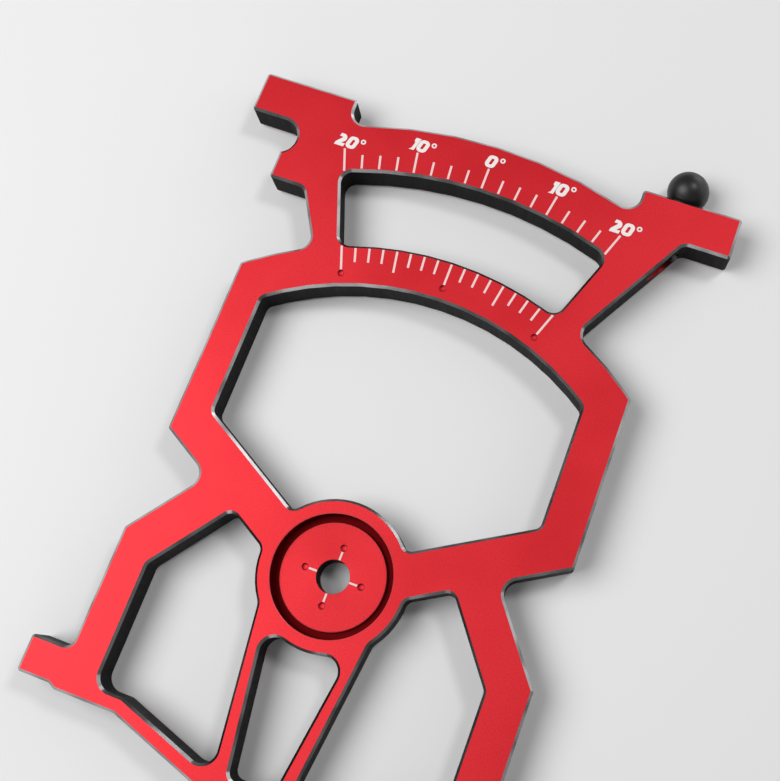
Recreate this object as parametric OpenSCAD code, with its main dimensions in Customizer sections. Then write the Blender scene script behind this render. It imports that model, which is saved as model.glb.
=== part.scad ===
// Wheel alignment plate of a radio control car setup station.
// It lies flat: X to the right, Y towards the zero mark, Z up, hub axis at X = Y = 0, back face at Z = 0.

/* [Plate] */
// Thickness of the plate
plate_t = 5; // [4.6:0.1:8]
// Width of the bevel along every edge, which the marks keep clear of
edge_break = 0.35; // [0.2:0.05:0.5]
// Half width of the large window and of the leg openings
window_half_w = 22.85; // [21:0.05:24]
// Width of the left rail and left leg
rail_left_w = 4.75; // [3:0.25:5]
// Width of the right rail and right leg
rail_right_w = 5.7; // [3:0.05:6]
// Rounding of the outer corners
corner_r = 0.45; // [0.1:0.05:0.6]
// Fillet in the corners of the windows
window_r = 1.2; // [0.5:0.1:1.6]
// Fillet at the waist, where an arm meets a leg
waist_r = 1.9; // [1:0.1:2.4]
// Fillet at the upper end of a neck, at the tab and the land
neck_r = 1.4; // [0.6:0.1:1.8]
// Fillet at the lower end of a neck, at the shoulder
shoulder_r = 1.9; // [0.6:0.1:2.2]

/* [Scale] */
// Radius of the upper edge of the scale window
scale_top_r = 55.65; // [53:0.25:57]
// Radius of the lower edge of the scale window
scale_low_r = 44.6; // [43:0.2:47]
// Half of the angle that the scale window spans
scale_half_a = 20.5; // [20.5:0.1:22]
// Rounding of the scale window's upper corners
scale_top_corner_r = 1.7; // [0.8:0.1:2]
// Rounding of the scale window's lower corners
scale_low_corner_r = 1.6; // [0.8:0.1:2]
// Radius of the crown above the scale
crown_r = 62.8; // [61:0.2:64]
// Radius of the arch below the scale
arch_r = 38.8; // [37:0.05:39.5]
// Angle between two marks
tick_step_a = 2.5; // [1.25, 2.5, 5]
// Width of a mark
tick_w = 0.34; // [0.2:0.02:0.5]
// Length of a short mark
tick_short = 2.1; // [1.5:0.1:2.5]
// Length of a long mark
tick_long = 3.15; // [2.6:0.05:3.3]
// Extra length of the last upper mark, into the window's rounded corner
tick_top_extra = 0.35; // [0:0.05:0.35]
// Extra length of the last lower mark, into the window's rounded corner
tick_low_extra = 0.35; // [0:0.05:0.35]
// Thickness of the white print
print_t = 0.06; // [0.04:0.01:0.1]

/* [Numerals] */
// Height of a numeral
numeral_h = 1.9; // [1.7:0.05:2.3]
// Width of the digit zero
zero_w = 1.54; // [1.3:0.02:1.7]
// Width of the digit one
one_w = 0.74; // [0.66:0.02:1]
// Width of the digit two
two_w = 1.36; // [1.3:0.02:1.7]
// Width of a digit's upright strokes
stroke_w = 0.56; // [0.3:0.02:0.58]
// Width of the upright stroke of the digit one
one_stroke_w = 0.48; // [0.3:0.02:0.5]
// Height of a digit's level strokes
bar_h = 0.48; // [0.3:0.02:0.58]
// Rounding of a digit's bowl
bowl_r = 0.6; // [0.3:0.05:0.6]
// Gap between two digits
digit_gap = 0.06; // [0.06:0.02:0.3]
// Gap between the last digit and the degree ring
degree_gap = 0.16; // [0.1:0.02:0.3]
// Outer diameter of the degree ring
degree_d = 0.75; // [0.6:0.05:1]
// Diameter of the hole in the degree ring
degree_hole_d = 0.34; // [0.2:0.02:0.5]
// Gap between a long mark and its numeral
numeral_gap = 0.18; // [0.1:0.02:0.3]
// Slant of the numerals
numeral_slant = 15; // [0:1:18]

/* [Tabs] */
// Height of the tabs' top edge above the hub axis
tab_top_y = 63.2; // [62.8:0.2:66]
// Depth of a tab from its top edge to its underside
tab_h = 6.05; // [5:0.25:6.5]
// Distance from the middle to a tab's outer edge
tab_out_x = 35.15; // [34:0.25:38]
// Distance from the middle to a tab's inner edge
tab_in_x = 21.2; // [20.5:0.1:22]
// Fillet between a tab and the crown
tab_valley_r = 1.9; // [1:0.1:2.2]
// Distance from the middle to where the neck meets the tab's underside
neck_top_x = 28.7; // [28.5:0.1:29.4]
// Slope of the neck's edge
neck_a = 60; // [58:0.5:62]
// Radius of the shoulder between neck and rail, about the hub axis
shoulder_reach = 44.65; // [43.5:0.05:46]
// Radius of the gauge notch under the left tab
notch_r = 2.55; // [2.2:0.05:2.7]
// Distance from the middle to the notch's centre
notch_x = 29.9; // [29.8:0.1:31]
// Distance from the middle to the edge of the land below the notch
land_x = 28.8; // [28.6:0.05:29.4]
// Distance from the tab's underside down to the land's lower edge
land_drop = 8.9; // [8:0.1:9.5]

/* [Legs] */
// Slope of the arms that run from the hub to the rails
arm_a = 30; // [28:0.5:32]
// Width of an arm
arm_w = 5.85; // [5:0.05:6.5]
// Distance that an arm's middle line passes below the hub axis
arm_drop = 1.73; // [1.5:0.01:2]
// Slope of the upper part of a leg
leg_a = 52.4; // [50:0.2:55]
// Distance from the hub axis to the middle of that part
leg_reach = 17; // [16.75:0.05:18]
// Width of that part
leg_w = 5.8; // [5:0.05:6.5]
// Distance from the middle to the end of a foot
foot_out_x = 33.05; // [31:0.25:36]
// Depth of a foot's upper edge below the hub axis
foot_top_drop = 19.4; // [18:0.05:20]
// Depth of a foot's lower edge below the hub axis
foot_low_drop = 24.7; // [24:0.05:25]
// Height of the step at the outer end of a foot
foot_step_h = 0.5; // [0.2:0.1:0.8]
// Distance from a foot's end to its step
foot_step_len = 4.45; // [3:0.05:5]
// Length of the step's slope
foot_step_run = 1; // [0.5:0.1:2]
// Fillet between a foot and its leg
foot_r = 1.2; // [0.8:0.1:1.8]
// Fillet between a leg and the strip below its opening
leg_low_r = 2; // [1:0.1:2.4]

/* [Base] */
// Distance from the middle to where a foot's lower edge meets the sloping strip
strip_x = 19.3; // [19:0.1:20.5]
// Slope of the strip that joins a foot to the base
strip_a = 18.15; // [17.5:0.05:19]
// Width of that strip
strip_w = 2.1; // [1.6:0.1:2.6]
// Depth of the base below the hub axis
base_drop = 30; // [29:0.1:30.5]
// Thickness of the base under the window between the spokes
base_t = 3.2; // [2.4:0.1:3.6]
// Depth below the hub axis at which the spokes' edges are measured
spoke_level = 15; // [14:0.5:16]
// Distance from the middle to a spoke's outer edge at that depth
spoke_out_x = 6.5; // [6.3:0.01:6.9]
// Distance from the middle to a spoke's inner edge at that depth
spoke_in_x = 4.65; // [4.4:0.01:5]
// Lean of a spoke's outer edge
spoke_out_a = 7.05; // [6:0.05:8]
// Lean of a spoke's inner edge
spoke_in_a = 8.5; // [7.5:0.25:9.5]
// Fillets at both ends of a spoke
spoke_r = 1.9; // [1:0.1:2]

/* [Hub] */
// Diameter of the hub's face
flange_d = 13.8; // [12.6:0.1:15]
// Thickness of the hub's flange
flange_t = 0.6; // [0.3:0.05:0.8]
// Running gap under the flange
flange_gap = 0.1; // [0.05:0.05:0.2]
// Width of the open ring around the hub's face
ring_gap = 1; // [0.6:0.05:1.4]
// Width of the plate's wall around that ring
boss_wall = 1.9; // [1.6:0.05:2.4]
// Diameter of the hole for the car's axle
axle_bore_d = 4.35; // [3.2:0.05:5]
// Length of the hub's index marks
index_len = 1.1; // [0.6:0.05:1.2]
// Gap from an index mark to the bore, and from a mark to its dimple
index_gap = 0.05; // [0.03:0.01:0.15]
// Diameter of the index dimples
dimple_d = 0.95; // [0.6:0.05:1]
// Depth of the index dimples
dimple_depth = 0.25; // [0.1:0.05:0.25]

/* [Bearing] */
// Bore of the bearing
bearing_id = 8; // [7.6:0.1:8.2]
// Outer diameter of the bearing
bearing_od = 12; // [11.8:0.1:12.4]
// Width of the bearing
bearing_w = 2.5; // [2.4:0.1:3]
// How far the bearing lies below the plate's back face
rear_recess = 0.1; // [0.05:0.05:0.2]
// Thickness of the plate's lip in front of the bearing
lip_t = 0.3; // [0.2:0.05:0.4]
// Width of that lip
lip_w = 0.7; // [0.5:0.05:0.9]
// Diameter of a bearing ball
bearing_ball_d = 1.18; // [1.05:0.01:1.2]
// Number of bearing balls
bearing_balls_n = 13; // [9:1:14]
// Distance between the shoulders of the two races
race_gap = 0.8; // [0.75:0.05:0.85]
// Running gap between a ball and its track or pocket
ball_gap = 0.02; // [0.01:0.01:0.03]
// Thickness of the cage, across the races
cage_t = 0.5; // [0.4:0.05:0.55]
// Height of the cage
cage_h = 1.6; // [1.5:0.05:1.7]
// Thickness of a seal
seal_t = 0.25; // [0.15:0.05:0.3]
// How far a seal lies below the bearing's face
seal_sink = 0.05; // [0.03:0.01:0.1]
// How far a seal reaches into the outer race
seal_seat = 0.3; // [0.2:0.05:0.35]
// Running gap between a seal and the inner race
seal_gap = 0.05; // [0.03:0.01:0.1]
// Clearance between a pressed piece and its seat
seat_gap = 0.01; // [0.005:0.005:0.02]

/* [Ball stud] */
// Diameter of the ball
stud_ball_d = 5.8; // [5:0.1:6.4]
// Distance from the middle to the stud's axis
stud_x = 27; // [26.5:0.25:27.5]
// Diameter of the stud's hole
stud_hole_d = 3; // [2.5:0.1:3.2]
// Clearance of the stud in its hole
stud_gap = 0.04; // [0.02:0.01:0.06]
// Length of the stud below the tab's edge
stud_len = 7.6; // [6:0.2:7.8]
// Gap between the ball and the rim of its hole
stud_rim_gap = 0.06; // [0.03:0.01:0.1]
// Width across the flats of the socket in the stud's end
socket_af = 1.5; // [1.2:0.1:1.7]
// Depth of that socket
socket_depth = 1.5; // [1:0.1:2]

/* [Hidden] */
ball_names = [for (i = [1 : bearing_balls_n]) str("bearing_ball_", i)];
$fn = 96;

// Angle that one straight piece of a curved outline covers, and the least distance between its points
arc_step = 6;
least_step = 0.001;

// How far a cut runs past the face that it opens
cut = 1;

// The numerals spell these angles out
numeral_step_a = 10;
last_a = 2 * numeral_step_a;
index_angles = [0, 90, 180, 270];

// Levels of the hub and its bearing, from the back face up
bearing_z = rear_recess;
bearing_top = bearing_z + bearing_w;
bearing_mid = bearing_z + bearing_w / 2;
ring_floor = bearing_top + lip_t;
flange_z = ring_floor + flange_gap;
hub_top = flange_z + flange_t;

// Radii of the hub and its bearing
ring_r = flange_d / 2 + ring_gap;
boss_r = ring_r + boss_wall;
pitch_r = (bearing_id + bearing_od) / 4;
inner_shoulder_r = pitch_r - race_gap / 2;
outer_shoulder_r = pitch_r + race_gap / 2;
seal_seat_r = outer_shoulder_r + seal_seat;
track_r = bearing_ball_d / 2 + ball_gap;
hub_shoulder_r = inner_shoulder_r - 2 * seal_gap;
index_start_r = axle_bore_d / 2 + index_gap;
hub_dimple_r = index_start_r + index_len + index_gap + dimple_d / 2;

// Edges and levels of the outline
tab_low_y = tab_top_y - tab_h;
land_low_y = tab_low_y - land_drop;
notch_y = tab_low_y - notch_r;
side_right = window_half_w + rail_right_w;
side_left = window_half_w + rail_left_w;
foot_low_y = -foot_low_drop;
base_y = -base_drop;
mark_top_r = scale_top_r + edge_break;
mark_low_r = scale_low_r - edge_break;
scale_dimple_r = mark_low_r - tick_long - index_gap - dimple_d / 2;

// Where the stud's hole has left the neck's edge
stud_exit_y = tab_low_y - (neck_top_x - stud_x + stud_hole_d / 2) * tan(neck_a);

// A point on each straight edge, for the right half of the plate
arm_up = [-sin(arm_a), cos(arm_a)];
arm_top = arm_up * (arm_w / 2 - arm_drop);
arm_low = arm_up * (-arm_w / 2 - arm_drop);
leg_out = polar(leg_reach + leg_w / 2, leg_a);
leg_in = polar(leg_reach - leg_w / 2, leg_a);
neck_top = [neck_top_x, tab_low_y];
neck_side = [sin(neck_a), -cos(neck_a)];
strip_low = [strip_x, foot_low_y];
strip_bend = strip_low + strip_w * [-tan(strip_a / 2), 1];
spoke_out = [spoke_out_x, -spoke_level];
spoke_in = [spoke_in_x, -spoke_level];

function unit(v) = v / norm(v);
function heading(v) = atan2(v.y, v.x);
function polar(r, a) = r * [sin(a), cos(a)];
function sharp(p) = [p.x, p.y, 0];
function soft(p, r) = [p.x, p.y, r];

// Where the line through p at angle a meets the line through q at angle b
function meet(p, a, q, b) =
    let (d = [cos(a), sin(a)], e = [cos(b), sin(b)])
    p + d * cross(q - p, e) / cross(d, e);

// Points along an arc, as sharp corners
function arc(c, r, a0, a1) =
    let (n = max(2, ceil(abs(a1 - a0) / arc_step)))
    [for (i = [0 : n]) let (a = a0 + (a1 - a0) * i / n) sharp(c + r * [cos(a), sin(a)])];

// The rounded stretch that takes the place of corner b
function fillet(a, b, c, r) =
    let (u = unit(a - b),
        v = unit(c - b),
        half = acos(u * v) / 2,
        mid = b + unit(u + v) * r / sin(half),
        from = heading(b + u * r / tan(half) - mid),
        turn = sign(cross(b - a, c - b)) * (180 - 2 * half))
    [for (p = arc(mid, r, from, from + turn)) [p.x, p.y]];

// The points of a closed outline without those that repeat the one before
function distinct(list) =
    let (n = len(list))
    [for (i = [0 : n - 1]) if (norm(list[i] - list[(i + n - 1) % n]) > least_step) list[i]];

// A closed outline with each corner rounded by its own radius
function rounded(list) =
    let (n = len(list), xy = [for (p = list) [p.x, p.y]])
    distinct([for (i = [0 : n - 1])
        each list[i][2] > 0
            ? fillet(xy[(i + n - 1) % n], xy[i], xy[(i + 1) % n], list[i][2])
            : [xy[i]]]);

// The same corners on the left half, in the order that goes on round the outline
function flip(list) = [for (i = [len(list) - 1 : -1 : 0]) [-list[i][0], list[i][1], list[i][2]]];

// Centre of a fillet of radius r between a straight edge and an arc of radius reach about the hub axis.
// The centre lies at the distance gap along the edge's normal n, and way picks one of two places.
function arc_fillet(n, gap, reach, r, way) =
    n * gap + [-n.y, n.x] * way * sqrt(pow(reach + r, 2) - gap * gap);
function boss_fillet(n, gap, r, way) = arc_fillet(n, gap, boss_r, r, way);

// Outline of one side from the base up to the shoulder's inner end
shoulder_fillet = arc_fillet(neck_side, neck_side * neck_top + shoulder_r, shoulder_reach, shoulder_r, 1);
function lower_side(side_x) = concat([
    sharp(meet([0, base_y], 0, strip_low, strip_a)),
    sharp(strip_low),
    sharp([foot_out_x - foot_step_len - foot_step_run, foot_low_y]),
    sharp([foot_out_x - foot_step_len, foot_low_y + foot_step_h]),
    soft([foot_out_x, foot_low_y + foot_step_h], corner_r),
    soft([foot_out_x, -foot_top_drop], corner_r),
    soft([side_x, -foot_top_drop], foot_r),
    soft(meet([side_x, 0], 90, leg_out, -leg_a), corner_r),
    soft(meet(arm_low, arm_a, leg_out, -leg_a), waist_r),
    soft(meet([side_x, 0], 90, arm_low, arm_a), corner_r),
    soft([side_x, sqrt(shoulder_reach * shoulder_reach - side_x * side_x)], corner_r)],
    arc([0, 0], shoulder_reach, acos((side_x - 2 * corner_r) / shoulder_reach), heading(shoulder_fillet)),
    arc(shoulder_fillet, shoulder_r, heading(-shoulder_fillet), neck_a - 270)
);

// Outline of a tab's free end
tab_end = [
    soft([tab_out_x, tab_low_y], corner_r),
    soft([tab_out_x, tab_top_y], corner_r),
    soft([tab_in_x, tab_top_y], corner_r)
];

// Right tab, and left tab with its notch and land, both as seen on the right
right_tab = concat([soft(neck_top, neck_r)], tab_end);
left_tab = concat(
    [soft(meet(neck_top, neck_a, [0, land_low_y], 0), neck_r),
        soft([land_x, land_low_y], corner_r)],
    arc([notch_x, notch_y], notch_r, 180 + acos((notch_x - land_x) / notch_r), 90),
    tab_end
);

// Crown from a tab's inner edge to the middle
crown_mid_x = tab_in_x - tab_valley_r;
crown_mid = [crown_mid_x, sqrt(pow(crown_r + tab_valley_r, 2) - crown_mid_x * crown_mid_x)];
crown = concat(
    arc(crown_mid, tab_valley_r, 0, heading(-crown_mid)),
    arc([0, 0], crown_r, heading(crown_mid), 90)
);

outline = concat(lower_side(side_right), right_tab, crown,
    flip(crown), flip(left_tab), flip(lower_side(side_left)));

// Right half of the window between the two scales
scale_top_mid_r = scale_top_r - scale_top_corner_r;
scale_top_mid_a = scale_half_a - asin(scale_top_corner_r / scale_top_mid_r);
scale_low_mid_r = scale_low_r + scale_low_corner_r;
scale_low_mid_a = scale_half_a - asin(scale_low_corner_r / scale_low_mid_r);
scale_side = concat(
    arc([0, 0], scale_low_r, 90, 90 - scale_low_mid_a),
    arc(polar(scale_low_mid_r, scale_low_mid_a), scale_low_corner_r, -90 - scale_low_mid_a, -scale_half_a),
    arc(polar(scale_top_mid_r, scale_top_mid_a), scale_top_corner_r, -scale_half_a, 90 - scale_top_mid_a),
    arc([0, 0], scale_top_r, 90 - scale_top_mid_a, 90)
);

// Right half of the large window
arch_end = [window_half_w, sqrt(arch_r * arch_r - window_half_w * window_half_w)];
arch_start_x = window_half_w - 2 * window_r;
arm_fillet = boss_fillet(arm_up, arm_up * arm_top + window_r, window_r, -1);
large_side = concat(
    arc([0, 0], boss_r, 90, heading(arm_fillet)),
    arc(arm_fillet, window_r, heading(-arm_fillet), arm_a - 90),
    [soft(meet(arch_end, 90, arm_top, arm_a), window_r), soft(arch_end, window_r)],
    arc([0, 0], arch_r, acos(arch_start_x / arch_r), 90)
);

// Right opening between boss, arm, leg, strip and spoke
spoke_side = [cos(spoke_out_a), -sin(spoke_out_a)];
under_fillet = boss_fillet(-arm_up, window_r - arm_up * arm_low, window_r, 1);
spoke_fillet = boss_fillet(spoke_side, spoke_side * spoke_out + spoke_r, spoke_r, -1);
leg_opening = concat(
    arc([0, 0], boss_r, heading(spoke_fillet), heading(under_fillet)),
    arc(under_fillet, window_r, heading(-under_fillet), arm_a + 90),
    [soft(meet(arm_low, arm_a, leg_in, -leg_a), window_r),
        soft(meet(arch_end, 90, leg_in, -leg_a), window_r),
        soft([window_half_w, strip_bend.y], leg_low_r),
        sharp(strip_bend),
        soft(meet(spoke_out, 90 - spoke_out_a, strip_bend, strip_a), spoke_r)],
    arc(spoke_fillet, spoke_r, 180 - spoke_out_a, heading(-spoke_fillet))
);

// Right half of the window between the spokes
between_side = [-cos(spoke_in_a), sin(spoke_in_a)];
between_fillet = boss_fillet(between_side, between_side * spoke_in + spoke_r, spoke_r, 1);
between_half = concat(
    [soft(meet(spoke_in, 90 - spoke_in_a, [0, base_y + base_t], 0), window_r)],
    arc(between_fillet, spoke_r, -spoke_in_a, heading(-between_fillet)),
    arc([0, 0], boss_r, heading(between_fillet), -90)
);

module ring(r_out, r_in, z, h) {
    translate([0, 0, z])
        difference() {
            cylinder(r = r_out, h = h);
            translate([0, 0, -cut])
                cylinder(r = r_in, h = h + 2 * cut);
        }
}

module both_halves(half) {
    polygon(rounded(concat(half, flip(half))));
}

module dimple(r, a, top_z) {
    rotate(-a)
        translate([0, r, top_z - dimple_depth])
            cylinder(d = dimple_d, h = dimple_depth + cut);
}

module frame_plate() {
    color("crimson")
        difference() {
            linear_extrude(plate_t)
                difference() {
                    polygon(rounded(outline));
                    both_halves(scale_side);
                    both_halves(large_side);
                    polygon(rounded(leg_opening));
                    polygon(rounded(flip(leg_opening)));
                    both_halves(between_half);
                }
            translate([0, 0, -cut])
                cylinder(r = bearing_od / 2 + seat_gap, h = bearing_top + cut);
            cylinder(r = bearing_od / 2 - lip_w, h = plate_t);
            translate([0, 0, ring_floor])
                cylinder(r = ring_r, h = plate_t);
            translate([stud_x, tab_top_y + cut, plate_t / 2])
                rotate([90, 0, 0])
                    cylinder(d = stud_hole_d, h = tab_top_y - stud_exit_y + 2 * cut);
            for (a = [-last_a, 0, last_a])
                dimple(scale_dimple_r, a, plate_t);
        }
}

module axle_hub() {
    color("crimson")
        difference() {
            union() {
                cylinder(r = bearing_id / 2 - seat_gap, h = bearing_top);
                translate([0, 0, bearing_top])
                    cylinder(r = hub_shoulder_r, h = flange_z - bearing_top);
                translate([0, 0, flange_z])
                    cylinder(d = flange_d, h = flange_t);
            }
            translate([0, 0, -cut])
                cylinder(d = axle_bore_d, h = hub_top + 2 * cut);
            for (a = index_angles) {
                dimple(hub_dimple_r, a, hub_top);
                index_mark(a, print_t + cut);
            }
        }
}

module toe_ball_stud() {
    ball_rise = sqrt(pow(stud_ball_d / 2, 2) - pow(stud_hole_d / 2, 2)) + stud_rim_gap;
    color("black")
        translate([stud_x, tab_top_y, plate_t / 2])
            rotate([-90, 0, 0])
                difference() {
                    union() {
                        translate([0, 0, ball_rise])
                            sphere(d = stud_ball_d);
                        translate([0, 0, -stud_len])
                            cylinder(d = stud_hole_d - 2 * stud_gap, h = stud_len + ball_rise);
                    }
                    translate([0, 0, -stud_len - cut])
                        cylinder(d = socket_af / cos(30), h = socket_depth + cut, $fn = 6);
                }
}

module ball_track() {
    translate([0, 0, bearing_mid])
        rotate_extrude()
            translate([pitch_r, 0])
                circle(r = track_r);
}

module bearing_outer_race() {
    color("silver")
        difference() {
            ring(bearing_od / 2, outer_shoulder_r, bearing_z, bearing_w);
            ball_track();
            for (z = [bearing_z - cut, bearing_top - seal_sink - seal_t])
                translate([0, 0, z])
                    cylinder(r = seal_seat_r, h = seal_sink + seal_t + cut);
        }
}

module bearing_inner_race() {
    color("silver")
        difference() {
            ring(inner_shoulder_r, bearing_id / 2, bearing_z, bearing_w);
            ball_track();
        }
}

function ball_angle(i) = (i - 1) * 360 / bearing_balls_n;

module bearing_cage() {
    color("silver")
        difference() {
            ring(pitch_r + cage_t / 2, pitch_r - cage_t / 2, bearing_mid - cage_h / 2, cage_h);
            for (i = [1 : bearing_balls_n])
                rotate(ball_angle(i))
                    translate([pitch_r - cage_t, 0, bearing_mid])
                        rotate([0, 90, 0])
                            cylinder(r = track_r, h = 2 * cage_t);
        }
}

module bearing_ball(i) {
    color("gainsboro")
        rotate(ball_angle(i))
            translate([pitch_r, 0, bearing_mid])
                sphere(d = bearing_ball_d);
}

module bearing_seal(z) {
    color("dimgray")
        ring(seal_seat_r - seat_gap, inner_shoulder_r + seal_gap, z, seal_t);
}

// A mark printed along the direction a, centred at the distance r from the hub axis
module face_mark(r, a, length, z, h) {
    rotate(-a)
        translate([-tick_w / 2, r - length / 2, z])
            cube([tick_w, length, h]);
}

// Long or short marks of one scale, from the radius edge_r outwards (way 1) or inwards (way -1)
module scale_ticks(edge_r, way, last_extra, long) {
    color("white")
        for (a = [-last_a : tick_step_a : last_a])
            if (long == (a % numeral_step_a == 0)) {
                extra = abs(a) == last_a ? last_extra : 0;
                length = (long ? tick_long : tick_short) + extra;
                face_mark(edge_r + way * (length / 2 - extra), a, length, plate_t, print_t);
            }
}

// An index mark from its sunk floor in the hub's face up to the height h
module index_mark(a, h) {
    face_mark(index_start_r + index_len / 2, a, index_len, hub_top - print_t, h);
}

module hub_index_marks() {
    color("white")
        for (a = index_angles)
            index_mark(a, print_t);
}

// Corners of a digit, leaning about the middle of its height
function leaning(list) = [for (p = list) [p.x + (p.y - numeral_h / 2) * tan(numeral_slant), p.y, p[2]]];
function box(x, y, w, h, r) = [[x, y, r], [x + w, y, r], [x + w, y + h, r], [x, y + h, r]];

module digit_zero() {
    slit_w = zero_w - 2 * stroke_w;
    slit_h = numeral_h - 2 * bar_h;
    difference() {
        polygon(rounded(leaning(box(0, 0, zero_w, numeral_h, bowl_r))));
        polygon(rounded(leaning(box(stroke_w, bar_h, slit_w, slit_h, slit_w / 3))));
    }
}

module digit_one() {
    bar_x = one_w - one_stroke_w;
    flag_y = numeral_h - bar_h;
    polygon(rounded(leaning([
        sharp([0, 0]),
        sharp([one_w, 0]),
        sharp([one_w, numeral_h]),
        sharp([0, numeral_h]),
        sharp([0, flag_y]),
        sharp([bar_x, flag_y - bar_x]),
        sharp([bar_x, bar_x])
    ])));
}

module digit_two() {
    bowl_x = two_w - stroke_w / 3;
    inner_x = bowl_x - stroke_w;
    foot_x = inner_x + stroke_w / 3;
    polygon(rounded(leaning([
        sharp([0, 0]),
        sharp([two_w, 0]),
        sharp([two_w, bar_h]),
        sharp([foot_x, bar_h]),
        soft([bowl_x, numeral_h / 2], bowl_r / 2),
        soft([bowl_x, numeral_h], bowl_r),
        sharp([0, numeral_h]),
        sharp([0, numeral_h - bar_h]),
        soft([inner_x, numeral_h - bar_h], bowl_r / 6),
        sharp([0, bar_h])
    ])));
}

module degree_ring() {
    lean = (numeral_h - degree_d) / 2 * tan(numeral_slant);
    translate([degree_d / 2 + lean, numeral_h - degree_d / 2])
        difference() {
            circle(d = degree_d);
            circle(d = degree_hole_d);
        }
}

// The numeral of the long mark at angle a: its digits are centred over the mark
module numeral(a) {
    tens = abs(a) / 10;
    tens_w = tens == 0 ? 0 : (tens == 1 ? one_w : two_w) + digit_gap;
    width = tens_w + zero_w;
    mark_end = polar(mark_top_r + tick_long, a);
    color("white")
        translate([mark_end.x - width / 2, mark_end.y + numeral_gap, plate_t])
            linear_extrude(print_t) {
                if (tens == 1) digit_one();
                if (tens == 2) digit_two();
                translate([tens_w, 0])
                    digit_zero();
                translate([width + degree_gap, 0])
                    degree_ring();
            }
}

frame_plate();
axle_hub();
toe_ball_stud();
bearing_outer_race();
bearing_inner_race();
bearing_cage();
bearing_seal(bearing_top - seal_sink - seal_t);  // bearing_front_seal
bearing_seal(bearing_z + seal_sink);  // bearing_rear_seal
scale_ticks(mark_top_r, 1, tick_top_extra, true);  // upper_long_ticks
scale_ticks(mark_top_r, 1, tick_top_extra, false);  // upper_short_ticks
scale_ticks(mark_low_r, -1, tick_low_extra, true);  // lower_long_ticks
scale_ticks(mark_low_r, -1, tick_low_extra, false);  // lower_short_ticks
numeral(-last_a);  // numeral_left_20
numeral(-numeral_step_a);  // numeral_left_10
numeral(0);  // numeral_0
numeral(numeral_step_a);  // numeral_right_10
numeral(last_a);  // numeral_right_20
hub_index_marks();
for (i = [1 : bearing_balls_n])
    bearing_ball(i);
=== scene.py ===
import math

import bmesh
import bpy
from mathutils import Matrix, Quaternion, Vector


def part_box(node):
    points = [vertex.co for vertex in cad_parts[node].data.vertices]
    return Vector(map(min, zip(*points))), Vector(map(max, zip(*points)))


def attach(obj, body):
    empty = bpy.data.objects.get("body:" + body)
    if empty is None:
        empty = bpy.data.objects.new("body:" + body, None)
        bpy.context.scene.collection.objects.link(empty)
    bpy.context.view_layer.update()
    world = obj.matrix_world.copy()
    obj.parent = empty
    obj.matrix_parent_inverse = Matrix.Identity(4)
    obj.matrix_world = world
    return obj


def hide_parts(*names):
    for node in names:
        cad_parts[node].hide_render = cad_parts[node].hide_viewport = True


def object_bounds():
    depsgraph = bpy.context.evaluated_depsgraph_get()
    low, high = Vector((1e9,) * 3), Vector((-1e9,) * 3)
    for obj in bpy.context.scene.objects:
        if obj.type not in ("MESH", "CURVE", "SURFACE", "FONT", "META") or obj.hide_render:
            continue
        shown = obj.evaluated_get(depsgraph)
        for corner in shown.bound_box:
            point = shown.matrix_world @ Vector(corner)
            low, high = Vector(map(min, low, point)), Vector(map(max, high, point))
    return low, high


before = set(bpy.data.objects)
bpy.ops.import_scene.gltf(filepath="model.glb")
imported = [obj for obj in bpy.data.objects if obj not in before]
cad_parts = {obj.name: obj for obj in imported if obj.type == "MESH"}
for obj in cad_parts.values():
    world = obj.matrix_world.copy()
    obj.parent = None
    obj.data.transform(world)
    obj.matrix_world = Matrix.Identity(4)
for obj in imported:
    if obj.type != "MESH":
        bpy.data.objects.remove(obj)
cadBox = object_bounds()
mm = 0.001


# Shader maths: a wire is a socket that Python's operators work on
class Wire:
    def __init__(self, tree, socket=None):
        self.tree = tree
        self.socket = socket

    def node(self, kind, settings, sockets, output=0):
        made = self.tree.nodes.new("ShaderNode" + kind)
        for name, value in settings.items():
            setattr(made, name, value)
        for key, value in sockets.items():
            if isinstance(value, Wire):
                self.tree.links.new(value.socket, made.inputs[key])
            else:
                made.inputs[key].default_value = value
        return Wire(self.tree, made.outputs[output] if made.outputs else None)

    def __add__(self, other):
        return self.node("Math", {"operation": "ADD"}, {0: self, 1: other})

    def __sub__(self, other):
        return self.node("Math", {"operation": "SUBTRACT"}, {0: self, 1: other})

    def __rsub__(self, other):
        return self.node("Math", {"operation": "SUBTRACT"}, {0: other, 1: self})

    def __mul__(self, other):
        return self.node("Math", {"operation": "MULTIPLY"}, {0: self, 1: other})

    __radd__ = __add__
    __rmul__ = __mul__


def newMaterial(name):
    material = bpy.data.materials.new(name)
    material.use_nodes = True
    tree = material.node_tree
    tree.nodes.clear()
    start = Wire(tree)
    place = start.node("TexCoord", {}, {}, "Object")
    return material, start, place


def finishMaterial(start, sockets):
    shader = start.node("BsdfPrincipled", {}, sockets)
    start.node("OutputMaterial", {}, {"Surface": shader})


def noise(place, size, detail=2.0, rough=0.5):
    sockets = {"Vector": place, "Scale": 1 / size, "Detail": detail, "Roughness": rough}
    return place.node("TexNoise", {}, sockets, "Fac")


def stretched(place, x=1, y=1, z=1, turn=0.0):
    return place.node("Mapping", {}, {"Vector": place, "Scale": (x, y, z), "Rotation": (0, 0, turn)})


def between(value, span):
    # 0 below the span, 1 above it, smooth in between
    low, high = span
    settings = {"interpolation_type": "SMOOTHSTEP"}
    return value.node("MapRange", settings, {"Value": value, "From Min": low, "From Max": high})


def swing(value, amount):
    # a noise, which lies about 0.5, as a change to both sides of nothing
    return (value - 0.5) * amount


def blendColour(share, first, second):
    # the Mix node's factor is socket 0, its two colours are 6 and 7, and the blended one comes out at 2
    return share.node("Mix", {"data_type": "RGBA"}, {0: share, 6: first, 7: second}, 2)


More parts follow.
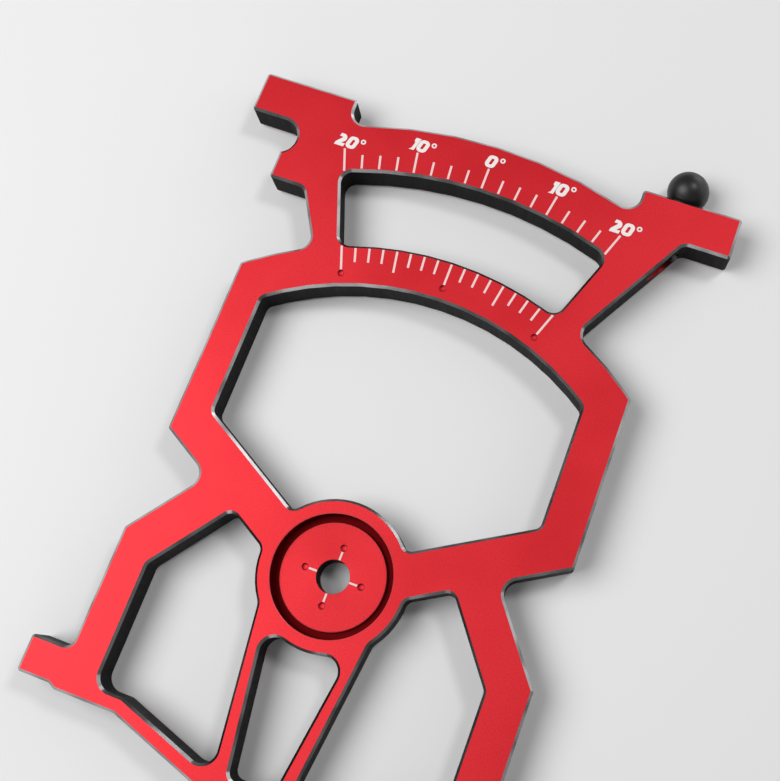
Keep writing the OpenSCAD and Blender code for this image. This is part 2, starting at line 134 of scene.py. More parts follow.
def bumped(height, strength, depth):
    return height.node("Bump", {}, {"Height": height, "Strength": strength, "Distance": depth})


def turning(place, pitch):
    # fine rings about the hub's axis, as a lathe leaves them
    flat = stretched(place, z=0)
    radius = flat.node("VectorMath", {"operation": "LENGTH"}, {0: flat}, "Value")
    return radius.node("Math", {"operation": "SINE"}, {0: radius * (2 * math.pi / pitch)})


# Red anodised aluminium: a blasted grain, slow changes of the dye, a few fine hairlines
redLook = {
    "dye": (0.640, 0.011, 0.020, 1),
    "paleDye": (0.720, 0.018, 0.029, 1),
    "deepDye": (0.400, 0.004, 0.008, 1),
    # painted shade: a near-black red that stands in for the shade in the sunk ring and the holes
    "paintedShadeDye": (0.110, 0.001, 0.002, 1),
    # painted highlight: a pale pink that stands in for the light caught on small bevels
    "paintedHighlightDye": (0.850, 0.260, 0.270, 1),
    "dyeSize": 16 * mm,
    "dyeSpan": (0.3, 0.7),
    "dyeDrift": 0.2,  # how much the share of another dye changes over the surface
    "grainSize": 0.20 * mm,
    "grainDepth": 0.016 * mm,
    "grainSpan": (0.4, 0.8),
    "grainShare": 0.55,
    "hairSize": 0.16 * mm,
    "hairStretch": 0.04,
    "hairTurn": 35,
    "hairSpan": (0.70, 0.76),
    "hairDepth": 0.4,
    "ringPitch": 0.11 * mm,
    "turnedGrain": 0.6,  # on a turned face the grain is weaker and rings are added
    "turnedRings": 0.35,
    "bump": 0.5,
    "metallic": 0.45,
    "roughness": 0.44,
    "grainRoughness": 0.18,
    "dyeRoughness": 0.08,
    "hairPolish": 0.08,
}


def anodisedRed(name, turned=False, otherDye="dye", share=0.0, gloss=0.35):
    # share of the other dye: a painted shade that darkens the sunk ring and the holes, or a painted
    # highlight that lightens the small bevels at the ring and the hub's rim
    material, start, place = newMaterial(name)
    slow = noise(place, redLook["dyeSize"], detail=3)
    grain = noise(place, redLook["grainSize"], detail=3, rough=0.65)
    drawn = stretched(place, y=redLook["hairStretch"], turn=math.radians(redLook["hairTurn"]))
    hairline = between(noise(drawn, redLook["hairSize"]), redLook["hairSpan"])
    colour = blendColour(between(slow, redLook["dyeSpan"]), redLook["dye"], redLook["paleDye"])
    speckled = between(grain, redLook["grainSpan"]) * redLook["grainShare"]
    colour = blendColour(speckled, colour, redLook["deepDye"])
    if share:
        drift = redLook["dyeDrift"]
        colour = blendColour(slow * drift + share - drift / 2, colour, redLook[otherDye])
    height = grain + hairline * -redLook["hairDepth"]
    if turned:
        rings = turning(place, redLook["ringPitch"])
        height = height * redLook["turnedGrain"] + rings * redLook["turnedRings"]
    rough = swing(grain, redLook["grainRoughness"]) + swing(slow, redLook["dyeRoughness"])
    rough = rough + redLook["roughness"] - hairline * redLook["hairPolish"]
    finishMaterial(start, {
        "Base Color": colour,
        "Metallic": redLook["metallic"],
        "Specular IOR Level": gloss,
        "Roughness": rough,
        "Normal": bumped(height, redLook["bump"], redLook["grainDepth"]),
    })
    return material


# Bare aluminium where the edges were cut after the dye
bareLook = {
    "metal": (0.44, 0.44, 0.45, 1),
    "dull": (0.17, 0.17, 0.18, 1),
    "patchSize": 4 * mm,
    "patchSpan": (0.35, 0.75),
    "lineSize": 0.5 * mm,
    "lineStretch": 12,
    "lineDepth": 0.006 * mm,
    "bump": 0.15,
    "roughness": 0.20,
    "lineRoughness": 0.2,
}


def bareAluminium(name):
    material, start, place = newMaterial(name)
    lines = noise(stretched(place, z=bareLook["lineStretch"]), bareLook["lineSize"], detail=3, rough=0.6)
    patches = between(noise(place, bareLook["patchSize"]), bareLook["patchSpan"])
    finishMaterial(start, {
        "Base Color": blendColour(patches, bareLook["metal"], bareLook["dull"]),
        "Metallic": 1.0,
        "Roughness": swing(lines, bareLook["lineRoughness"]) + bareLook["roughness"],
        "Normal": bumped(lines, bareLook["bump"], bareLook["lineDepth"]),
    })
    return material


# Dark cut walls of the plate, with the mill's upright passes
wallLook = {
    "dark": (0.006, 0.006, 0.006, 1),
    "worn": (0.022, 0.019, 0.020, 1),
    "scuffSize": 2.2 * mm,
    "scuffSpan": (0.55, 0.85),
    "passSize": 0.35 * mm,
    "passStretch": 0.06,
    "passDepth": 0.010 * mm,
    "bump": 0.4,
    "gloss": 0.06,
    "roughness": 0.55,
    "passRoughness": 0.25,
}


def darkWall(name):
    material, start, place = newMaterial(name)
    passes = noise(stretched(place, z=wallLook["passStretch"]), wallLook["passSize"], detail=3, rough=0.6)
    scuffs = noise(place, wallLook["scuffSize"], detail=4, rough=0.6)
    worn = between(scuffs, wallLook["scuffSpan"])
    finishMaterial(start, {
        "Base Color": blendColour(worn, wallLook["dark"], wallLook["worn"]),
        "Specular IOR Level": wallLook["gloss"],
        "Roughness": swing(passes, wallLook["passRoughness"]) + wallLook["roughness"],
        "Normal": bumped(passes, wallLook["bump"], wallLook["passDepth"]),
    })
    return material


# White screen print, a little thin in places
printLook = {
    "ink": (0.84, 0.79, 0.78, 1),
    "thin": (0.80, 0.58, 0.58, 1),
    "markInk": (0.84, 0.61, 0.60, 1),
    "speckSize": 0.12 * mm,
    "speckDepth": 0.006 * mm,
    "patchSize": 1.8 * mm,
    "patchShare": 0.4,
    "thinSpan": (0.78, 0.98),
    "thinShare": 0.7,
    "bump": 0.3,
    "roughness": 0.52,
    "speckRoughness": 0.2,
}


def whitePrint(name, ink):
    material, start, place = newMaterial(name)
    speck = noise(place, printLook["speckSize"], detail=3, rough=0.6)
    patches = noise(place, printLook["patchSize"])
    thin = between(speck + patches * printLook["patchShare"], printLook["thinSpan"])
    finishMaterial(start, {
        "Base Color": blendColour(thin * printLook["thinShare"], printLook[ink], printLook["thin"]),
        "Roughness": swing(speck, printLook["speckRoughness"]) + printLook["roughness"],
        "Normal": bumped(speck, printLook["bump"], printLook["speckDepth"]),
    })
    return material


# Black satin steel of the ball stud
blackLook = {
    "black": (0.006, 0.006, 0.006, 1),
    "rubbed": (0.018, 0.018, 0.018, 1),
    "grainSize": 0.18 * mm,
    "grainDepth": 0.008 * mm,
    "rubSize": 1.4 * mm,
    "rubStretch": 0.35,
    "rubSpan": (0.5, 0.8),
    "bump": 0.35,
    "roughness": 0.42,
    "grainRoughness": 0.16,
    "rubRoughness": 0.12,
}


def satinBlack(name):
    material, start, place = newMaterial(name)
    grain = noise(place, blackLook["grainSize"], detail=3, rough=0.6)
    rubs = noise(stretched(place, y=blackLook["rubStretch"]), blackLook["rubSize"], detail=4, rough=0.6)
    rubbed = between(rubs, blackLook["rubSpan"])
    rough = swing(grain, blackLook["grainRoughness"]) + swing(rubs, blackLook["rubRoughness"])
    finishMaterial(start, {
        "Base Color": blendColour(rubbed, blackLook["black"], blackLook["rubbed"]),
        "Roughness": rough + blackLook["roughness"],
        "Normal": bumped(grain, blackLook["bump"], blackLook["grainDepth"]),
    })
    return material


# Ground bearing steel, with grinding rings about the axis
steelLook = {
    "steel": (0.60, 0.60, 0.62, 1),
    "shade": (0.40, 0.40, 0.42, 1),
    "filmSize": 1.5 * mm,
    "filmSpan": (0.4, 0.75),
    "ringPitch": 0.07 * mm,
    "ringDepth": 0.003 * mm,
    "bump": 0.3,
    "raceRoughness": 0.24,
    "cageRoughness": 0.36,
    "ballRoughness": 0.14,
    "filmRoughness": 0.14,
}


def bearingSteel(name, roughness):
    material, start, place = newMaterial(name)
    rings = turning(place, steelLook["ringPitch"])
    film = noise(place, steelLook["filmSize"], detail=3)
    shaded = between(film, steelLook["filmSpan"])
    finishMaterial(start, {
        "Base Color": blendColour(shaded, steelLook["steel"], steelLook["shade"]),
        "Metallic": 1.0,
        "Roughness": swing(film, steelLook["filmRoughness"]) + steelLook[roughness],
        "Normal": bumped(rings, steelLook["bump"], steelLook["ringDepth"]),
    })
    return material


# Moulded rubber of the seals
rubberLook = {
    "rubber": (0.020, 0.020, 0.021, 1),
    "bloom": (0.055, 0.054, 0.053, 1),
    "bloomSize": 1.2 * mm,
    "bloomSpan": (0.45, 0.8),
    "grainSize": 0.1 * mm,
    "grainDepth": 0.01 * mm,
    "bump": 0.4,
    "roughness": 0.62,
    "grainRoughness": 0.2,
}


def sealRubber(name):
    material, start, place = newMaterial(name)
    grain = noise(place, rubberLook["grainSize"], detail=3, rough=0.6)
    bloom = between(noise(place, rubberLook["bloomSize"], detail=3), rubberLook["bloomSpan"])
    finishMaterial(start, {
        "Base Color": blendColour(bloom, rubberLook["rubber"], rubberLook["bloom"]),
        "Roughness": swing(grain, rubberLook["grainRoughness"]) + rubberLook["roughness"],
        "Normal": bumped(grain, rubberLook["bump"], rubberLook["grainDepth"]),
    })
    return material


plateRed = anodisedRed("plateRed")
hubRed = anodisedRed("hubRed", turned=True)
# painted shade: the sunk ring's floor and walls darkened all through, as if in deep shade
paintedShadeRed = anodisedRed("paintedShadeRed", otherDye="paintedShadeDye", share=1.0, gloss=0.03)
# partly painted shade: red darkened part of the way towards the painted shade, for the stud hole and the
# dimples
paintedHoleShadeRed = anodisedRed("paintedHoleShadeRed", otherDye="paintedShadeDye", share=0.6, gloss=0.2)
# painted highlight: red lightened towards pale pink on the small bevels at the ring, the seat and the hub's
# rim
paintedHighlightRed = anodisedRed("paintedHighlightRed", otherDye="paintedHighlightDye", share=0.35)
bareEdge = bareAluminium("bareEdge")
plateWall = darkWall("plateWall")
inkWhite = whitePrint("inkWhite", "ink")
markWhite = whitePrint("markWhite", "markInk")
studBlack = satinBlack("studBlack")
raceSteel = bearingSteel("raceSteel", "raceRoughness")
cageSteel = bearingSteel("cageSteel", "cageRoughness")
ballSteel = bearingSteel("ballSteel", "ballRoughness")
sealBlack = sealRubber("sealBlack")
print("materials:", len(bpy.data.materials))


# Mesh helpers, and the limits by which they tell faces and edges apart
meshLimits = {
    "merge": 0.0005 * mm,
    "joinAngle": 0.3,
    "sameLevel": 0.001 * mm,
    "near": 0.01 * mm,
    "cut": 0.00001 * mm,
    "flat": 0.99,  # levelness above which a face is flat
    "wall": 0.1,  # levelness below which it is a wall
    "upright": 0.01,  # levelness below which the wall is straight up
}


def copyOf(node):
    # a CAD node's loose triangles, merged, with its flat regions joined
    mesh = bmesh.new()
    mesh.from_mesh(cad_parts[node].data)
    bmesh.ops.remove_doubles(mesh, verts=mesh.verts, dist=meshLimits["merge"])
    joinAngle = math.radians(meshLimits["joinAngle"])
    bmesh.ops.dissolve_limit(mesh, angle_limit=joinAngle, verts=mesh.verts, edges=mesh.edges)
    mesh.normal_update()
    return mesh


def heightOf(face):
    levels = [vert.co.z for vert in face.verts]
    return min(levels), max(levels)


def levelness(face):
    # 1 for a flat face, 0 for an upright one
    return abs(face.normal.z)


def radiusOf(edge):
    middle = (edge.verts[0].co + edge.verts[1].co) / 2
    return math.hypot(middle.x, middle.y)


def rims(mesh, level, test):
    # edges at one level between a flat face and an upright one that passes the test
    found = []
    for edge in mesh.edges:
        apart = max(abs(vert.co.z - level) for vert in edge.verts)
        if len(edge.link_faces) != 2 or apart > meshLimits["sameLevel"]:
            continue
        flat, upright = sorted(edge.link_faces, key=lambda face: -levelness(face))
        square = levelness(flat) > meshLimits["flat"] and levelness(upright) < meshLimits["upright"]
        if square and test(edge, upright):
            found.append(edge)
    return found


def bevelEdges(mesh, edges, width, segments=1):
    bmesh.ops.bevel(mesh, geom=edges, offset=width, offset_type="OFFSET", affect="EDGES", segments=segments,
                    profile=0.5, material=-1, clamp_overlap=False, loop_slide=False)
    mesh.normal_update()


def cutFlats(mesh, low, high, step, start):
    # wide flat faces are cut into a coarse grid, so that each has few corners
    for axis in (0, 1):
        across = Vector((1 - axis, axis, 0))
        place = low[axis] + start * step
        while place < high[axis]:
            bmesh.ops.bisect_plane(mesh, geom=mesh.verts[:] + mesh.edges[:] + mesh.faces[:],
                                   plane_co=across * place, plane_no=across, dist=meshLimits["cut"])
            place += step
    mesh.normal_update()


# Drilled dimples of the plate and the hub
dimpleSizes = {
    "depth": 0.25 * mm,
    "point": 0.07 * mm,
    "cone": 0.2 * mm,
    "area": 1.0 * mm * mm,  # a floor at this depth and smaller than this is a dimple's
}


def drillPoints(mesh, top):
    # the flat floor of each dimple becomes a shallow cone, and the cone's faces are returned
    level = top - dimpleSizes["depth"]
    floors = []
    for face in mesh.faces:
        atDepth = abs(heightOf(face)[0] - level) < meshLimits["near"]
        if atDepth and face.normal.z > meshLimits["flat"] and face.calc_area() < dimpleSizes["area"]:
            floors.append(face)
    return bmesh.ops.inset_individual(mesh, faces=floors, thickness=dimpleSizes["cone"],
                                      depth=-dimpleSizes["point"])["faces"]


def paintFaces(mesh, finishes, finishOf):
    # finishes are materials by name, and finishOf names the one that a face has
    order = list(finishes)
    for face in mesh.faces:
        face.material_index = order.index(finishOf(face))


def addPiece(name, mesh, materials, body, nodes, sharpAngle=25):
    for face in mesh.faces:
        face.smooth = True
    for edge in mesh.edges:
        edge.smooth = len(edge.link_faces) == 2 and edge.calc_face_angle(0) < math.radians(sharpAngle)
    data = bpy.data.meshes.new(name)
    mesh.to_mesh(data)
    mesh.free()
    if "custom_normal" in data.attributes:
        data.attributes.remove(data.attributes["custom_normal"])
    for material in materials:
        data.materials.append(material)
    piece = bpy.data.objects.new(name, data)
    bpy.context.scene.collection.objects.link(piece)
    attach(piece, body)
    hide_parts(*nodes)


# Frame plate: cut edges all round, small breaks at the ring and the bearing seat
plateSizes = {
    "edge": 0.35 * mm,
    "ringBreak": 0.08 * mm,
    "seatBreak": 0.15 * mm,
    "boss": 8.6 * mm,  # beyond this radius a slanted face is a cut edge
    "ring": 7.95 * mm,  # within this radius a wall is bored
    "seat": 2.75 * mm,  # the sunk ring is above this level, the bearing seat below it
    "dimple": 0.35 * mm,  # what lies this little below the face belongs to a dimple
    "studHole": 1.6 * mm,
    "pastStud": 4 * mm,  # the hole runs at most so far below the stud's end
    "holeTurn": 0.02,  # its walls lie along the stud to within this
    "slant": (0.3, 0.8),  # levelness of the cut edges and the breaks
    "grid": 9.3 * mm,
    "gridStart": 0.57,
}


def framePlate():
    low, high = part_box("frame_plate")
    mesh = copyOf("frame_plate")

    def outerWall(edge, upright):
        bottom, top = heightOf(upright)
        return radiusOf(edge) > plateSizes["boss"] and top - bottom > plateSizes["dimple"]

    def boredWall(edge, upright):
        return radiusOf(edge) < plateSizes["ring"]

    bevelEdges(mesh, rims(mesh, high.z, boredWall), plateSizes["ringBreak"])
    bevelEdges(mesh, rims(mesh, low.z, boredWall), plateSizes["seatBreak"])
    outline = rims(mesh, high.z, outerWall) + rims(mesh, low.z, outerWall)
    bevelEdges(mesh, outline, plateSizes["edge"])
    cones = set(drillPoints(mesh, high.z))
    cutFlats(mesh, low, high, plateSizes["grid"], plateSizes["gridStart"])
    stud = sum(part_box("toe_ball_stud"), Vector()) / 2
    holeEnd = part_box("toe_ball_stud")[0].y - plateSizes["pastStud"]
    near = meshLimits["near"]
    reach = plateSizes["edge"] + near
    steepest, flattest = plateSizes["slant"]

    def inStudHole(face, middle):
        offAxis = math.hypot(middle.x - stud.x, middle.z - stud.z)
        along = abs(face.normal.y) < plateSizes["holeTurn"]
        return along and offAxis < plateSizes["studHole"] and middle.y > holeEnd

    def finishOf(face):
        bottom, top = heightOf(face)
        middle = face.calc_center_median()
        level = levelness(face)
        bored = middle.xy.length < plateSizes["boss"]
        atEdge = bottom > high.z - reach or top < low.z + reach
        if steepest < level < flattest and atEdge and face not in cones:
            # the small bevels at the bored ring and the seat take the painted highlight
            return "rim" if bored else "edge"
        onFace = bottom > high.z - near or top < low.z + near
        shallow = bottom > high.z - plateSizes["dimple"]
        if level > meshLimits["flat"] and (onFace or shallow and not bored):
            return "face"
        dimpleWall = shallow and level < meshLimits["wall"]
        # the stud hole, the dimples' cones and their walls take the red partly darkened with painted shade
        if inStudHole(face, middle) or face in cones or dimpleWall:
            return "hole"
        # the sunk ring's floor and walls take the painted shade
        if bored and bottom > low.z + plateSizes["seat"]:
            return "ring"
        return "face" if bored else "wall"

    finishes = {
        "face": plateRed, "edge": bareEdge, "wall": plateWall,
        "ring": paintedShadeRed, "rim": paintedHighlightRed, "hole": paintedHoleShadeRed,
    }
    paintFaces(mesh, finishes, finishOf)
    addPiece("framePlate", mesh, finishes.values(), "plate", ["frame_plate"])


# Axle hub: turned rims on the flange and the bore
hubSizes = {
    "bore": 2.175 * mm,
    "rimBreak": 0.08 * mm,
    "boreBreak": 0.03 * mm,
    "near": 0.03 * mm,
    "rimBand": 1 * mm,  # a wall at the face and further in than this is a dimple's
    "slant": (0.3, 0.95),  # levelness of the flange's broken rim
}


def axleHub():
    low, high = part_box("axle_hub")
    flangeRadius = high.x
    boreReach = hubSizes["bore"] + hubSizes["near"]
    mesh = copyOf("axle_hub")

    def flangeWall(edge, upright):
        return radiusOf(edge) > flangeRadius - hubSizes["near"]

    def boreWall(edge, upright):
        return radiusOf(edge) < boreReach

    bevelEdges(mesh, rims(mesh, high.z, flangeWall), hubSizes["rimBreak"])
    bevelEdges(mesh, rims(mesh, high.z, boreWall) + rims(mesh, low.z, boreWall), hubSizes["boreBreak"])
    cones = set(drillPoints(mesh, high.z))
    steepest, flattest = hubSizes["slant"]

    def finishOf(face):
        radius = face.calc_center_median().xy.length
        level = levelness(face)
        wall = level < meshLimits["wall"]
        atFace = heightOf(face)[1] > high.z - hubSizes["near"]
        if wall and radiusOf(face.edges[0]) < boreReach:
            return "bore"
        # the hub's dimples take the red partly darkened with painted shade
        if face in cones or wall and atFace and radius < flangeRadius - hubSizes["rimBand"]:
            return "hole"
        # the flange's broken rim takes the painted highlight
        if steepest < level < flattest and radius > flangeRadius - 2 * hubSizes["rimBreak"]:
            return "rim"
        return "face"

    finishes = {"face": hubRed, "bore": plateWall, "hole": paintedHoleShadeRed, "rim": paintedHighlightRed}
    paintFaces(mesh, finishes, finishOf)
    addPiece("axleHub", mesh, finishes.values(), "hub", ["axle_hub"])


framePlate()
axleHub()
print("plate and hub cut and edged")


def spunMesh(points, axis, steps, closed):
    # a row of corners, joined up and turned once about an axis through the origin
    mesh = bmesh.new()
    verts = [mesh.verts.new(point) for point in points]
    first = 0 if closed else 1
    edges = [mesh.edges.new((verts[i - 1], verts[i])) for i in range(first, len(verts))]
    bmesh.ops.spin(mesh, geom=verts + edges, cent=(0, 0, 0), axis=axis, angle=2 * math.pi,
                   steps=steps, use_merge=True)
    bmesh.ops.remove_doubles(mesh, verts=mesh.verts, dist=meshLimits["merge"])
    return mesh


# Bearing races: ground faces with rounded corners
raceSizes = {
    "corner": 0.12 * mm,
    "cornerSteps": 3,
    "outerReach": 0.05 * mm,  # the outer race is rounded this close to its outside
    "innerReach": 0.2 * mm,  # the inner race is rounded further in than this
}


def bearingRace(name, node, body, outer):
    low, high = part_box(node)
    mesh = copyOf(node)

    def cornerWall(edge, upright):
        if outer:
            return radiusOf(edge) > high.x - raceSizes["outerReach"]
        return radiusOf(edge) < high.x - raceSizes["innerReach"]

    corners = rims(mesh, low.z, cornerWall) + rims(mesh, high.z, cornerWall)
    bevelEdges(mesh, corners, raceSizes["corner"], raceSizes["cornerSteps"])
    addPiece(name, mesh, [raceSteel], body, [node])


# Seals: a moulded ring with a bead at each edge and a shallow trough between
sealSizes = {
    "gap": 0.05 * mm,
    "bead": 0.2 * mm,
    "trough": 0.07 * mm,
    "slope": 0.06 * mm,
    "spinSteps": 96,
}


def bearingSeal(name, node, outside):
    # outside is 1 for the seal that shows at the front, -1 for the one at the back
    low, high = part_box(node)
    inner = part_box("bearing_inner_race")[1].x + sealSizes["gap"]
    outer = high.x
    shown = high.z if outside > 0 else low.z
    hidden = low.z if outside > 0 else high.z
    sunk = shown - outside * sealSizes["trough"]
    bead, slope = sealSizes["bead"], sealSizes["slope"]
    section = [
        (inner, hidden), (inner, shown), (inner + bead, shown), (inner + bead + slope, sunk),
        (outer - bead - slope, sunk), (outer - bead, shown), (outer, shown), (outer, hidden),
    ]
    corners = [(radius, 0, height) for radius, height in section]
    mesh = spunMesh(corners, (0, 0, 1), sealSizes["spinSteps"], closed=True)
    bmesh.ops.recalc_face_normals(mesh, faces=mesh.faces)
    addPiece(name, mesh, [sealBlack], "plate", [node])


bearingRace("outerRace", "bearing_outer_race", "plate", True)
bearingRace("innerRace", "bearing_inner_race", "hub", False)
bearingSeal("frontSeal", "bearing_front_seal", 1)
bearingSeal("rearSeal", "bearing_rear_seal", -1)
print("bearing turned")


# Ball stud: a ball and a threaded shank with a hexagon socket in its end
studSizes = {
    "shank": 1.46 * mm,
    "threadPitch": 0.5 * mm,
    "threadDepth": 0.26 * mm,
    "threadStart": 0.9 * mm,
    "endChamfer": 0.3 * mm,
    "socketSides": 6,
    "socketRadius": 0.866 * mm,
    "socketDepth": 1.5 * mm,
    "ballSteps": 28,
    "spinSteps": 64,
    "sharpAngle": 40,
}


def ballStud():
    low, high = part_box("toe_ball_stud")
    ball = (high.z - low.z) / 2
    middle = Vector(((low.x + high.x) / 2, high.y - ball, (low.z + high.z) / 2))
    shank, end = studSizes["shank"], low.y - middle.y
    pitch, chamfer = studSizes["threadPitch"], studSizes["endChamfer"]
    neckAngle = math.pi - math.asin(shank / ball)
    section = []  # radius and place along the stud, from the ball's top down
    for step in range(studSizes["ballSteps"] + 1):
        angle = neckAngle * step / studSizes["ballSteps"]
        section.append((ball * math.sin(angle), ball * math.cos(angle)))
    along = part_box("frame_plate")[1].y - middle.y - studSizes["threadStart"]
    while along - pitch > end + chamfer:
        section.append((shank, along))
        section.append((shank - studSizes["threadDepth"], along - pitch / 2))
        along -= pitch
    section.append((shank, end + chamfer))
    section.append((shank - chamfer, end))
    corners = [(radius, place, 0) for radius, place in section]
    mesh = spunMesh(corners, (0, 1, 0), studSizes["spinSteps"], closed=False)
    rim = [edge for edge in mesh.edges if edge.is_boundary]
    turned = Matrix.Translation((0, end, 0)) @ Matrix.Rotation(math.pi / 2, 4, "X")
    hexagon = bmesh.ops.create_circle(mesh, segments=studSizes["socketSides"],
                                      radius=studSizes["socketRadius"], matrix=turned)["verts"]
    mouth = list(dict.fromkeys(edge for vert in hexagon for edge in vert.link_edges))
    bmesh.ops.bridge_loops(mesh, edges=rim + mouth)
    walls = bmesh.ops.extrude_edge_only(mesh, edges=mouth)["geom"]
    deep = [item for item in walls if isinstance(item, bmesh.types.BMVert)]
    bmesh.ops.translate(mesh, verts=deep, vec=(0, studSizes["socketDepth"], 0))
    bmesh.ops.holes_fill(mesh, edges=mesh.edges, sides=0)
    bmesh.ops.recalc_face_normals(mesh, faces=mesh.faces)
    bmesh.ops.translate(mesh, verts=mesh.verts, vec=middle)
    addPiece("ballStud", mesh, [studBlack], "plate", ["toe_ball_stud"], studSizes["sharpAngle"])


ballStud()
print("ball stud turned")


# White marks of the two scales: each starts beside the cut edge of the window, the last ones nearer to it
markSizes = {
    "width": 0.30 * mm,
    "short": 2.1 * mm,
    "long": 3.15 * mm,
    "ink": 0.025 * mm,
    "sunk": 0.01 * mm,
    "stepAngle": 2.5,
    "longEvery": 10,
    "lastAngle": 20,
    "upperEdge": 55.65 * mm,
    "lowerEdge": 44.6 * mm,
    "clear": 0.06 * mm,
    "upperExtra": 0.35 * mm,
    "lowerExtra": 0.35 * mm,
    "sharpAngle": 20,
}


def markStrip(mesh, angle, section, width):
    # a section of (radius, height) corners, drawn out to a mark's width and turned to its angle
    face = mesh.faces.new([mesh.verts.new((-width / 2, radius, height)) for radius, height in section])
    grown = bmesh.ops.extrude_face_region(mesh, geom=[face])["geom"]
    moved = [item for item in grown if isinstance(item, bmesh.types.BMVert)]
    bmesh.ops.translate(mesh, verts=moved, vec=(width, 0, 0))
    turned = Matrix.Rotation(-math.radians(angle), 3, "Z")
    bmesh.ops.rotate(mesh, verts=list(face.verts) + moved, cent=(0, 0, 0), matrix=turned)


def scaleSection(edgeRadius, away, length, extra):
    # away is 1 where the marks run outwards from the window's edge, and -1 where they run inwards
    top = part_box("frame_plate")[1].z
    edge, ink, sunk = plateSizes["edge"], markSizes["ink"], markSizes["sunk"]
    start = edgeRadius + away * (edge + markSizes["clear"] - extra)
    end = edgeRadius + away * (edge + length)
    return [(start, top - sunk), (end, top - sunk), (end, top + ink), (start, top + ink)]


def scaleMarks(name, node, edgeRadius, away, isLong, extra):
    mesh = bmesh.new()
    count = round(2 * markSizes["lastAngle"] / markSizes["stepAngle"])
    for step in range(count + 1):
        angle = step * markSizes["stepAngle"] - markSizes["lastAngle"]
        if (angle % markSizes["longEvery"] == 0) == isLong:
            length = markSizes["long"] if isLong else markSizes["short"]
            atEnd = abs(angle) == markSizes["lastAngle"]
            section = scaleSection(edgeRadius, away, length, extra if atEnd else 0)
            markStrip(mesh, angle, section, markSizes["width"])
    bmesh.ops.recalc_face_normals(mesh, faces=mesh.faces)
    addPiece(name, mesh, [markWhite], "plate", [node], markSizes["sharpAngle"])


# Index marks laid flush in the hub's face
indexSizes = {"width": 0.26 * mm, "start": 2.225 * mm, "length": 1.1 * mm, "angles": (0, 90, 180, 270)}


def hubMarks():
    low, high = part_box("hub_index_marks")
    start, end = indexSizes["start"], indexSizes["start"] + indexSizes["length"]
    section = [(start, low.z), (end, low.z), (end, high.z), (start, high.z)]
    mesh = bmesh.new()
    for angle in indexSizes["angles"]:
        markStrip(mesh, angle, section, indexSizes["width"])
    bmesh.ops.recalc_face_normals(mesh, faces=mesh.faces)
    addPiece("hubMarks", mesh, [markWhite], "hub", ["hub_index_marks"])


for row, away in (("upper", 1), ("lower", -1)):
    edgeRadius, extra = markSizes[row + "Edge"], markSizes[row + "Extra"]
    scaleMarks(row + "LongMarks", row + "_long_ticks", edgeRadius, away, True, extra)
    scaleMarks(row + "ShortMarks", row + "_short_ticks", edgeRadius, away, False, extra)
hubMarks()
print("scales printed")


# CAD nodes whose shape is right get their finish here
keptNodes = {"numeral": inkWhite, "bearing_cage": cageSteel, "bearing_ball": ballSteel}
for nodeName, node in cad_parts.items():
    for start, material in keptNodes.items():
        if nodeName.startswith(start):
            node.data.materials.clear()
            node.data.materials.append(material)


# Pale floor under the lowest point of the object
floorSizes = {
    "half": 3.0,
    "colour": (0.80, 0.80, 0.805, 1),
    "cloudColour": (0.78, 0.78, 0.785, 1),
    "cloudSize": 60 * mm,
    "roughness": 0.9,
}


def paleFloor():
    mesh = bmesh.new()
    bmesh.ops.create_grid(mesh, x_segments=1, y_segments=1, size=floorSizes["half"])
    bmesh.ops.translate(mesh, verts=mesh.verts, vec=(0, 0, cadBox[0].z))
    data = bpy.data.meshes.new("floor")
    mesh.to_mesh(data)
    mesh.free()
    material, start, place = newMaterial("paleFloor")
    cloud = noise(place, floorSizes["cloudSize"])
    finishMaterial(start, {
        "Base Color": blendColour(cloud, floorSizes["colour"], floorSizes["cloudColour"]),
        "Roughness": floorSizes["roughness"],
    })
    data.materials.append(material)
    floor = bpy.data.objects.new("floor", data)
    bpy.context.scene.collection.objects.link(floor)


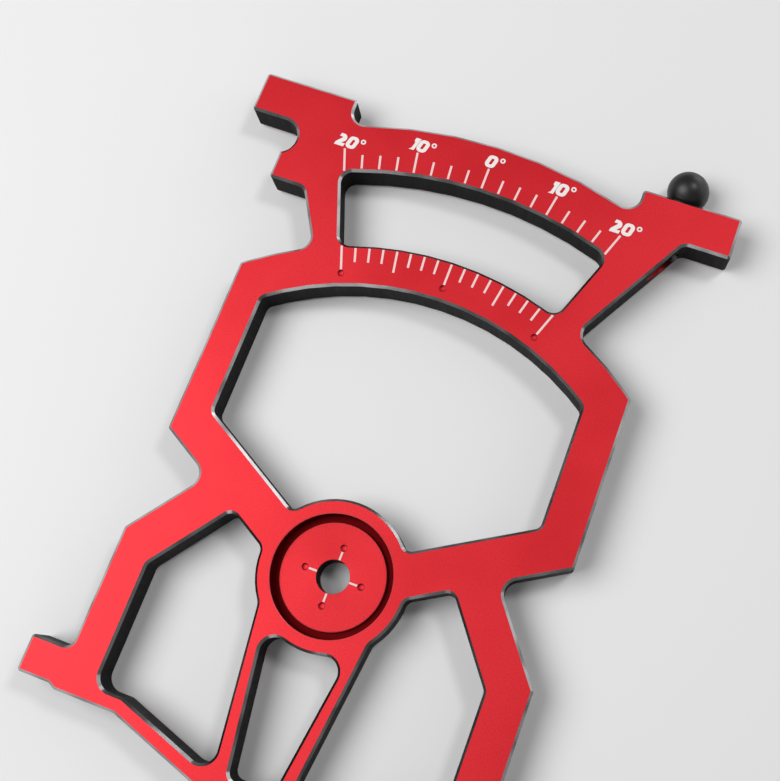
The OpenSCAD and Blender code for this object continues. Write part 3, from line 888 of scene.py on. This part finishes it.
# Soft studio light: the main lamp at the picture's left, dim low ones that the cut edges mirror
worldGrey = 0.22
lampSizes = {
    "keyLamp": {"place": (-0.22, -0.04, 0.34), "size": 0.32, "power": 1.31},
    "topLamp": {"place": (0.17, 0.24, 0.42), "size": 0.11, "power": 0.5},
    "sideLamp": {"place": (0.175, 0.50, 0.07), "size": 0.26, "power": 0.4},
    "rightLamp": {"place": (0.43, 0.30, 0.11), "size": 0.46, "power": 0.46},
    "lowLamp": {"place": (0.10, -0.48, 0.10), "size": 0.28, "power": 0.18},
}


def softLamp(name, place, size, power):
    data = bpy.data.lights.new(name, "AREA")
    data.shape = "DISK"
    data.size = size
    data.energy = power
    lamp = bpy.data.objects.new(name, data)
    lamp.location = place
    lamp.visible_camera = False
    lamp.rotation_euler = (-Vector(place)).to_track_quat("-Z", "Y").to_euler()
    bpy.context.scene.collection.objects.link(lamp)


def studioLight():
    for name, sizes in lampSizes.items():
        softLamp(name, **sizes)
    world = bpy.data.worlds.new("studio")
    world.use_nodes = True
    background = world.node_tree.nodes["Background"]
    background.inputs["Color"].default_value = (worldGrey, worldGrey, worldGrey, 1)
    bpy.context.scene.world = world


# Camera at the photograph's place: 780 x 781 pixels, focal length in pixels
cameraSizes = {
    "place": (27.08 * mm, -5.09 * mm, 156.22 * mm),
    "aim": (4.91 * mm, 34.80 * mm, 5.0 * mm),
    "roll": -9.41,
    "focalPixels": 1186.7,
    "centre": (462.1, 338.7),
    "picture": (780, 781),
    "sensor": 36.0,
    "clipStart": 0.01,
}


def photoCamera():
    wide, tall = cameraSizes["picture"]
    data = bpy.data.cameras.new("photoCamera")
    data.sensor_fit = "HORIZONTAL"
    data.sensor_width = cameraSizes["sensor"]
    data.lens = cameraSizes["focalPixels"] / wide * cameraSizes["sensor"]
    data.shift_x = (wide / 2 - cameraSizes["centre"][0]) / wide
    data.shift_y = (cameraSizes["centre"][1] - tall / 2) / wide
    data.clip_start = cameraSizes["clipStart"]
    camera = bpy.data.objects.new("photoCamera", data)
    place = Vector(cameraSizes["place"])
    turn = (Vector(cameraSizes["aim"]) - place).to_track_quat("-Z", "Y")
    roll = Quaternion((0, 0, 1), math.radians(cameraSizes["roll"]))
    camera.location = place
    camera.rotation_euler = (turn @ roll).to_euler()
    bpy.context.scene.collection.objects.link(camera)
    bpy.context.scene.camera = camera


paleFloor()
studioLight()
photoCamera()
bpy.context.scene.view_settings.view_transform = "Standard"
print("floor, lamps and camera placed")
